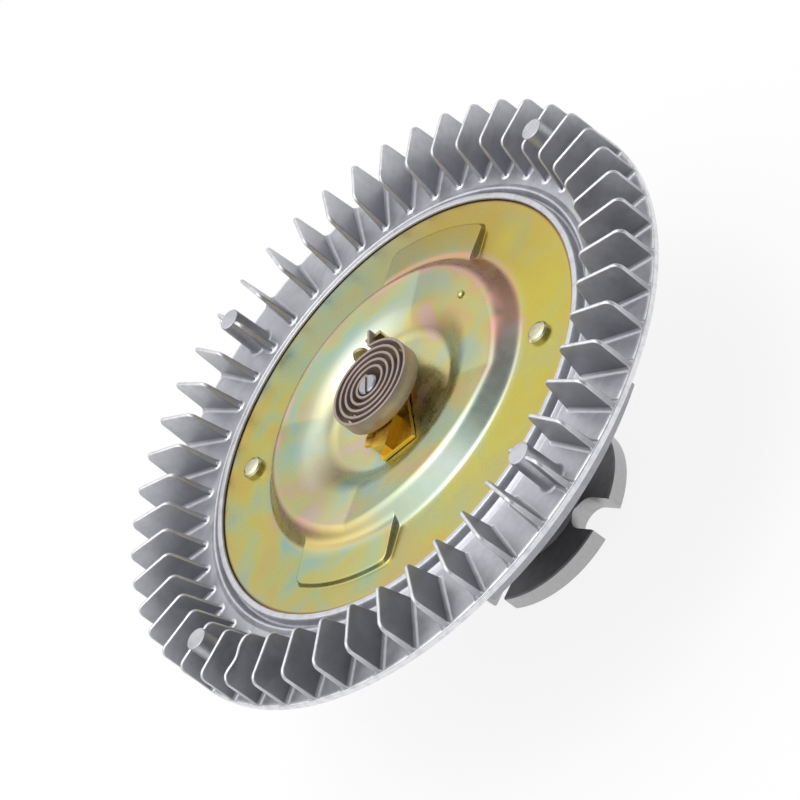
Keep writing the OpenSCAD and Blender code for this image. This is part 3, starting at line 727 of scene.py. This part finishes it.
class Finish:
    """A node material, with short calls for the nodes that the finishes use."""

    def __init__(self, name, metallic, roughness):
        self.material = bpy.data.materials.new(name)
        self.material.use_nodes = True
        self.tree = self.material.node_tree
        self.shader = self.tree.nodes["Principled BSDF"]
        self.shader.inputs["Metallic"].default_value = metallic
        self.shader.inputs["Roughness"].default_value = roughness
        place = self.node("ShaderNodeTexCoord").outputs["Object"]
        self.place = self.vector("SCALE", place, scale=1 / MM)

    def node(self, kind, **settings):
        node = self.tree.nodes.new(kind)
        for name, value in settings.items():
            setattr(node, name, value)
        return node

    def feed(self, socket, value):
        """Links a socket to another, or sets its value."""
        if isinstance(value, bpy.types.NodeSocket):
            self.tree.links.new(value, socket)
        elif isinstance(value, tuple) and socket.type == "RGBA":
            socket.default_value = (*value, 1)
        else:
            socket.default_value = value

    def vector(self, operation, a, b=None, scale=None):
        node = self.node("ShaderNodeVectorMath", operation=operation)
        self.feed(node.inputs[0], a)
        if b is not None:
            self.feed(node.inputs[1], b)
        if scale is not None:
            node.inputs["Scale"].default_value = scale
        return node.outputs["Value" if operation == "LENGTH" else "Vector"]

    def math(self, operation, a, b=0.0):
        node = self.node("ShaderNodeMath", operation=operation)
        self.feed(node.inputs[0], a)
        self.feed(node.inputs[1], b)
        return node.outputs[0]

    def noise(self, size, detail=3.0, distortion=0.0, place=None):
        """Soft noise whose patches are about size millimetres."""
        node = self.node("ShaderNodeTexNoise")
        self.feed(node.inputs["Vector"], place or self.place)
        node.inputs["Scale"].default_value = 1 / size
        node.inputs["Detail"].default_value = detail
        node.inputs["Distortion"].default_value = distortion
        return node.outputs["Fac"]

    def between(self, value, low, high, to_low=0.0, to_high=1.0):
        """Maps a range of values to another, softly and clamped."""
        node = self.node("ShaderNodeMapRange", interpolation_type="SMOOTHSTEP")
        for socket, amount in zip(node.inputs, (value, low, high, to_low, to_high)):
            self.feed(socket, amount)
        return node.outputs[0]

    def band(self, value, rise, fall):
        """One between a rise and a fall of the value, each given as for between."""
        return self.math("MULTIPLY", self.between(value, *rise), self.between(value, *fall))

    def along(self, x, y, way):
        """How far a place lies along a way in plan."""
        return self.math("ADD", self.math("MULTIPLY", x, way[0]), self.math("MULTIPLY", y, way[1]))

    def ramp(self, factor, stops):
        """Colours along a factor, given as (place, colour)."""
        node = self.node("ShaderNodeValToRGB")
        fill_ramp(node.color_ramp, stops)
        self.feed(node.inputs[0], factor)
        return node.outputs["Color"]

    def mix(self, factor, a, b):
        node = self.node("ShaderNodeMix", data_type="RGBA")
        self.feed(node.inputs[0], factor)
        self.feed(node.inputs[6], a)
        self.feed(node.inputs[7], b)
        return node.outputs[2]

    def colour(self, value):
        self.feed(self.shader.inputs["Base Color"], value)

    def roughness(self, value):
        self.feed(self.shader.inputs["Roughness"], value)

    def bump(self, height, depth):
        """Relief of the surface, depth in millimetres."""
        node = self.node("ShaderNodeBump")
        node.inputs["Distance"].default_value = depth * MM
        self.feed(node.inputs["Height"], height)
        self.feed(self.shader.inputs["Normal"], node.outputs["Normal"])


def metal(name, colour, roughness):
    """Plain metal with fine grain and a slow drift of tone."""
    finish = Finish(name, 1.0, roughness)
    darker = tuple(c * (1 - METAL_DRIFT) for c in colour)
    finish.colour(finish.mix(finish.noise(6.0, 4.0), darker, colour))
    worn = finish.noise(2.5, 3.0)
    finish.roughness(finish.between(worn, 0.3, 0.7, roughness - 0.05, roughness + 0.06))
    finish.bump(finish.noise(METAL_GRAIN, 2.0), METAL_GRAIN_DEPTH)
    return finish.material


def rubber(name, colour):
    """Matt black rubber."""
    finish = Finish(name, 0.0, 0.7)
    finish.colour(finish.mix(finish.noise(3.0), colour, tuple(c * 1.6 for c in colour)))
    finish.bump(finish.noise(0.3, 2.0), 0.02)
    return finish.material


def cast_aluminium():
    """Satin die casting: cloudy skin, fine grain, painted shade where shine is below 0, worn bright edges
    and painted light where above.
    """
    finish = Finish("cast_aluminium", 0.78, 0.45)
    shine = finish.node("ShaderNodeAttribute", attribute_name="shine").outputs["Fac"]
    cloud = finish.noise(9.0, 5.0, 0.6)
    streak = finish.noise(1.6, 3.0)
    skin = finish.mix(finish.between(cloud, 0.3, 0.72), (0.36, 0.365, 0.395), (0.475, 0.48, 0.515))
    skin = finish.mix(finish.between(streak, 0.35, 0.75, 0.0, 0.25), skin, (0.28, 0.28, 0.30))
    # Painted shade: below 0, shine darkens the skin toward near black
    skin = finish.mix(finish.math("MULTIPLY", shine, -1), skin, (0.09, 0.09, 0.095))
    # Above 0, shine lightens the skin in patches: worn bright edges, and painted light and highlights
    wear_and_painted_light = finish.math("MULTIPLY", shine, finish.between(finish.noise(2.2), 0.25, 0.6, 0.6, 1.0))
    wear_and_painted_light = finish.math("MAXIMUM", wear_and_painted_light, 0.0)
    finish.colour(finish.mix(wear_and_painted_light, skin, (0.88, 0.88, 0.91)))
    rough = finish.between(cloud, 0.3, 0.7, 0.40, 0.54)
    finish.roughness(finish.math("SUBTRACT", rough, finish.math("MULTIPLY", wear_and_painted_light, 0.10)))
    finish.bump(finish.math("ADD", finish.noise(0.45, 3.0), finish.math("MULTIPLY", cloud, 0.8)), 0.035)
    return finish.material


def yellow_zinc():
    """Yellow zinc: gold ring, greener to one side, rainbow facets, silver and pink on the wall; painted
    light at the recess mouth and floor and toward the camera, painted shade away from it and at the edge
    under the lip.
    """
    finish = Finish("yellow_zinc", 1.0, 0.3)
    axes = finish.node("ShaderNodeSeparateXYZ")
    finish.feed(axes.inputs[0], finish.place)
    x, y, _ = axes.outputs
    flat = finish.vector("MULTIPLY", finish.place, (1.0, 1.0, 0.0))
    radius = finish.vector("LENGTH", flat)
    aside = finish.along(x, y, ASIDE_WAY)
    toward = finish.along(x, y, TOWARD_WAY)
    patch = finish.noise(15.0, 1.0, 0.5, flat)
    drift = finish.math("SUBTRACT", finish.noise(28.0, 1.5, 0.3, flat), 0.5)
    around = finish.math("DIVIDE", finish.math("ARCTAN2", y, x), 2 * math.pi)
    around = finish.math("ADD", finish.math("ADD", around, 0.5), finish.math("MULTIPLY", drift, 0.28))
    around = finish.math("FRACT", around)
    ring = finish.ramp(around, [
        (0.00, (0.305, 0.375, 0.26)),
        (0.08, (0.39, 0.43, 0.27)),
        (0.20, (0.53, 0.47, 0.105)),
        (0.38, (0.55, 0.47, 0.075)),
        (0.51, (0.45, 0.34, 0.08)),
        (0.65, (0.30, 0.41, 0.29)),
        (0.80, (0.44, 0.41, 0.15)),
        (0.92, (0.41, 0.42, 0.20)),
        (1.00, (0.305, 0.375, 0.26)),
    ])
    facet = finish.ramp(patch, [
        (0.33, (0.29, 0.47, 0.44)),
        (0.41, (0.36, 0.48, 0.35)),
        (0.48, (0.48, 0.49, 0.18)),
        (0.55, (0.58, 0.44, 0.10)),
        (0.61, (0.62, 0.37, 0.16)),
        (0.68, (0.62, 0.33, 0.38)),
    ])
    wall = finish.ramp(around, [
        (0.00, (0.66, 0.52, 0.19)),
        (0.10, (0.37, 0.45, 0.36)),
        (0.20, (0.38, 0.48, 0.44)),
        (0.28, (0.44, 0.45, 0.43)),
        (0.36, (0.37, 0.18, 0.16)),
        (0.50, (0.70, 0.39, 0.22)),
        (0.72, (0.52, 0.46, 0.24)),
        (0.92, (0.74, 0.56, 0.13)),
        (1.00, (0.66, 0.52, 0.19)),
    ])
    bloom = finish.ramp(patch, [
        (0.35, (0.27, 0.44, 0.39)),
        (0.44, (0.41, 0.47, 0.22)),
        (0.53, (0.53, 0.46, 0.08)),
        (0.63, (0.58, 0.41, 0.06)),
    ])
    # Painted highlight: the far side of the recess mouth lightened toward a pale cream
    mouth_painted_highlight = finish.band(radius, (20.0, 24.0), (33.0, 27.0))
    mouth_painted_highlight = finish.math("MULTIPLY", mouth_painted_highlight, finish.between(y, 4.0, 18.0, 0.0, 0.7))
    facet_tints_and_painted_light = [
        (mouth_painted_highlight, (0.86, 0.80, 0.64)),
        # Painted light: the facets lightened toward the recess floor round the coil
        (finish.between(radius, 25.0, 19.0, 0.0, 0.45), (0.70, 0.70, 0.48)),
        (finish.between(aside, 8.0, 28.0, 0.0, 0.45), (0.23, 0.35, 0.31)),
        (finish.between(aside, -12.0, -30.0, 0.0, 0.3), (0.66, 0.63, 0.44)),
        # Painted light and shade: facets lighter on the side towards the camera and darker on the side away
        # from it
        (finish.between(toward, 12.0, 30.0, 0.0, 0.4), (0.80, 0.80, 0.52)),
        (finish.between(toward, -6.0, -26.0, 0.0, 0.4), (0.21, 0.30, 0.28)),
    ]
    for share, tint in facet_tints_and_painted_light:
        facet = finish.mix(share, facet, tint)
    ring = finish.mix(finish.between(aside, -10.0, 40.0, 0.15, 0.6), ring, bloom)
    margin = finish.math("MULTIPLY", finish.between(radius, 56.5, 60.5, 0.0, 0.4), patch)
    ring = finish.mix(margin, ring, (0.56, 0.36, 0.13))
    # Painted shade: the cover's edge darkened to a deep brown where it runs under the housing's lip
    ring = finish.mix(finish.between(radius, RIM_R, RIM_R + 0.6, 0.0, 0.8), ring, (0.20, 0.09, 0.05))
    inside = finish.between(radius, 47.5, 43.5)
    colour = finish.mix(inside, ring, finish.mix(0.25, facet, ring))
    on_wall = finish.band(radius, (37.5, 40.5), (45.5, 43.8))
    colour = finish.mix(finish.math("MULTIPLY", on_wall, 0.85), colour, wall)
    fringe = finish.band(radius, (36.5, 39.0), (42.0, 40.0, 0.0, 0.9))
    broken = finish.between(finish.noise(9.0, 1.0, 0.4, flat), 0.38, 0.6)
    fringe = finish.math("MULTIPLY", fringe, broken)
    fringe = finish.math("MULTIPLY", fringe, finish.between(toward, 32.0, 16.0))
    finish.colour(finish.mix(fringe, colour, (0.62, 0.36, 0.29)))
    finish.roughness(finish.between(finish.noise(4.0), 0.3, 0.7, 0.24, 0.33))
    finish.bump(finish.noise(0.8, 2.0), 0.002)
    return finish.material


def hub_iron():
    """Dark cast faces with a bright turned rim and milled slots."""
    finish = Finish("hub_iron", 1.0, 0.5)
    axes = finish.node("ShaderNodeSeparateXYZ")
    finish.feed(axes.inputs[0], finish.node("ShaderNodeTexCoord").outputs["Normal"])
    upright = finish.math("ABSOLUTE", axes.outputs[2])
    spot = finish.node("ShaderNodeSeparateXYZ")
    finish.feed(spot.inputs[0], finish.place)
    flange = finish.between(spot.outputs[2], 6.2, 5.6)
    cut = finish.math("MULTIPLY", finish.between(upright, 0.5, 0.3), flange)
    skin = finish.mix(finish.noise(2.4, 4.0), (0.17, 0.17, 0.177), (0.29, 0.288, 0.298))
    turned = finish.mix(finish.noise(1.2, 3.0), (0.40, 0.395, 0.40), (0.52, 0.515, 0.52))
    finish.colour(finish.mix(cut, skin, turned))
    finish.roughness(finish.between(cut, 0.0, 1.0, 0.56, 0.36))
    finish.bump(finish.noise(0.6, 3.0), 0.06)
    return finish.material


def bracket_zinc():
    """Yellow zinc on the coil's bracket, duller at the fork that holds the coil's end."""
    finish = Finish("bracket_zinc", 1.0, 0.28)
    axes = finish.node("ShaderNodeSeparateXYZ")
    finish.feed(axes.inputs[0], finish.place)
    gold = finish.mix(finish.noise(4.0, 3.0), (0.72, 0.44, 0.05), (0.86, 0.56, 0.08))
    finish.colour(finish.mix(finish.between(axes.outputs[1], 2.0, 7.0), gold, (0.52, 0.43, 0.25)))
    finish.roughness(finish.between(finish.noise(2.5, 3.0), 0.3, 0.7, 0.24, 0.34))
    finish.bump(finish.noise(0.35, 2.0), 0.01)
    return finish.material


def bimetal():
    """Bronze-brown strip with a cloudy tone."""
    finish = Finish("bimetal", 0.6, 0.42)
    finish.colour(finish.mix(finish.noise(2.0, 3.0), (0.29, 0.225, 0.20), (0.41, 0.33, 0.30)))
    finish.bump(finish.noise(0.3, 2.0), 0.015)
    return finish.material


def finish_nodes():
    """Finishes of the CAD nodes that are shown as they are."""
    steel = metal("bearing_steel", (0.72, 0.72, 0.73), 0.25)
    seal = rubber("seal_rubber", (0.02, 0.02, 0.021))
    plate = metal("plate_steel", (0.62, 0.60, 0.50), 0.35)
    finishes = {
        "drive_hub": hub_iron(),
        "bearing_inner_ring": steel,
        "bearing_balls": steel,
        "bearing_outer_ring": steel,
        "bearing_cage": metal("cage_brass", (0.72, 0.55, 0.26), 0.35),
        "bearing_seal_rear": seal,
        "bearing_seal_front": seal,
        "bearing_snap_ring": metal("spring_steel", (0.26, 0.27, 0.29), 0.35),
        "rotor": metal("rotor_aluminium", (0.75, 0.76, 0.78), 0.32),
        "cover_seal": seal,
        "divider_plate": plate,
        "cover_rivets": metal("rivet_steel", (0.60, 0.57, 0.38), 0.25),
        "shaft_bush": metal("bush_brass", (0.70, 0.52, 0.24), 0.32),
        "valve_shaft": metal("shaft_steel", (0.45, 0.45, 0.48), 0.32),
        "valve_arm": plate,
        "valve_shaft_seal": seal,
        "coil_bracket": bracket_zinc(),
    }
    for node, material in finishes.items():
        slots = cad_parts[node].data.materials
        slots.clear()
        slots.append(material)


# Stage, light and camera

CAMERA_AZIMUTH = 251.36
CAMERA_ELEVATION = 31.14
CAMERA_ROLL = 53.64
CAMERA_DISTANCE = 1100.0
CAMERA_LENS = 191.9
IMAGE_PIXELS = 800
TARGET_PIXEL = (392.1, 402.4)
TARGET_Z = 60.7

# Floor: radius and gap under the part in metres, share of white that the camera sees
FLOOR_RADIUS = 6.0
FLOOR_GAP = 0.0001
FLOOR_WHITE = 0.86

# World: brightness by height, then lobes of azimuth, elevation, edge, core and level at the core
WORLD_LEVEL = 1.95
WORLD_STOPS = (
    (0.00, 0.16),
    (0.20, 0.23),
    (0.40, 0.42),
    (0.52, 0.52),
    (0.70, 0.68),
    (0.85, 0.84),
    (1.00, 1.00),
)
ROOM_BEHIND_CAMERA = (CAMERA_AZIMUTH, 5, 0.60, 0.95, 0.2)
ROOM_AT_RIGHT = (315, 46, 0.72, 0.96, 0.25)
LAMP_OVERHEAD = (CAMERA_AZIMUTH, 88, 0.92, 0.99, 2.2)


def direction(azimuth, elevation):
    """Unit vector towards an azimuth and elevation."""
    a, e = math.radians(azimuth), math.radians(elevation)
    return Vector((math.cos(e) * math.cos(a), math.cos(e) * math.sin(a), math.sin(e)))


def set_camera():
    """Long lens at the photograph's angle, rolled as the photograph is."""
    target = Vector((0, 0, TARGET_Z))
    back = direction(CAMERA_AZIMUTH, CAMERA_ELEVATION)
    right = direction(CAMERA_AZIMUTH + 90, 0)
    up = back.cross(right)
    c, s = math.cos(math.radians(CAMERA_ROLL)), math.sin(math.radians(CAMERA_ROLL))
    across, upward = c * right - s * up, s * right + c * up
    data = bpy.data.cameras.new("camera")
    data.lens = CAMERA_LENS
    data.clip_start, data.clip_end = 0.05, 50
    data.shift_x = (IMAGE_PIXELS / 2 - TARGET_PIXEL[0]) / IMAGE_PIXELS
    data.shift_y = (TARGET_PIXEL[1] - IMAGE_PIXELS / 2) / IMAGE_PIXELS
    camera = bpy.data.objects.new("camera", data)
    bpy.context.scene.collection.objects.link(camera)
    turn = Matrix((across, upward, back)).transposed()
    camera.matrix_world = Matrix.Translation((target + back * CAMERA_DISTANCE) * MM) @ turn.to_4x4()
    bpy.context.scene.camera = camera


def math_node(tree, operation, a, b):
    """Math node of a tree, fed with sockets or numbers."""
    node = tree.nodes.new("ShaderNodeMath")
    node.operation = operation
    for socket, value in zip(node.inputs, (a, b)):
        if isinstance(value, float):
            socket.default_value = value
        else:
            tree.links.new(value, socket)
    return node.outputs[0]


def set_floor():
    """White floor that keeps a faint shadow."""
    low = cad_box[0].z - FLOOR_GAP
    mesh = bpy.data.meshes.new("floor")
    turns = np.radians(np.arange(0, 360, 6))
    points = [(FLOOR_RADIUS * math.cos(a), FLOOR_RADIUS * math.sin(a), low) for a in turns]
    mesh.from_pydata(points, [], [range(len(turns))])
    floor = bpy.data.objects.new("floor", mesh)
    bpy.context.scene.collection.objects.link(floor)
    material = bpy.data.materials.new("floor")
    material.use_nodes = True
    tree = material.node_tree
    tree.nodes.clear()
    path = tree.nodes.new("ShaderNodeLightPath")
    seen = math_node(tree, "MAXIMUM", path.outputs["Is Camera Ray"], path.outputs["Is Glossy Ray"])
    through = math_node(tree, "MAXIMUM", seen, path.outputs["Is Transmission Ray"])
    share = math_node(tree, "MULTIPLY", through, FLOOR_WHITE)
    diffuse = tree.nodes.new("ShaderNodeBsdfDiffuse")
    diffuse.inputs["Color"].default_value = (0.85, 0.85, 0.85, 1)
    glow = tree.nodes.new("ShaderNodeEmission")
    blend = tree.nodes.new("ShaderNodeMixShader")
    tree.links.new(share, blend.inputs[0])
    tree.links.new(diffuse.outputs[0], blend.inputs[1])
    tree.links.new(glow.outputs[0], blend.inputs[2])
    output = tree.nodes.new("ShaderNodeOutputMaterial")
    tree.links.new(blend.outputs[0], output.inputs["Surface"])
    mesh.materials.append(material)


def set_world():
    """Soft studio dome, bright overhead, with the dark room behind the camera and to its right."""
    world = bpy.data.worlds.new("studio")
    bpy.context.scene.world = world
    world.use_nodes = True
    tree = world.node_tree
    place = tree.nodes.new("ShaderNodeTexCoord")
    axes = tree.nodes.new("ShaderNodeSeparateXYZ")
    tree.links.new(place.outputs["Generated"], axes.inputs[0])
    ramp = tree.nodes.new("ShaderNodeValToRGB")
    fill_ramp(ramp.color_ramp, [(at, (grey, grey, grey * 1.01)) for at, grey in WORLD_STOPS])
    tree.links.new(axes.outputs[2], ramp.inputs[0])
    level = WORLD_LEVEL
    for azimuth, elevation, edge, core, at_core in (ROOM_BEHIND_CAMERA, ROOM_AT_RIGHT, LAMP_OVERHEAD):
        toward = tree.nodes.new("ShaderNodeVectorMath")
        toward.operation = "DOT_PRODUCT"
        toward.inputs[1].default_value = direction(azimuth, elevation)
        tree.links.new(place.outputs["Generated"], toward.inputs[0])
        lobe = tree.nodes.new("ShaderNodeMapRange")
        lobe.interpolation_type = "SMOOTHSTEP"
        for socket, value in zip(list(lobe.inputs)[1:], (edge, core, 1.0, at_core)):
            socket.default_value = value
        tree.links.new(toward.outputs["Value"], lobe.inputs[0])
        level = math_node(tree, "MULTIPLY", lobe.outputs[0], level)
    back = tree.nodes["Background"]
    tree.links.new(level, back.inputs["Strength"])
    tree.links.new(ramp.outputs[0], back.inputs["Color"])


bpy.context.scene.view_settings.view_transform = "Standard"
set_camera()
set_floor()
set_world()
finish_nodes()
build_housing(cast_aluminium())
build_cover(yellow_zinc())
build_coil(bimetal())
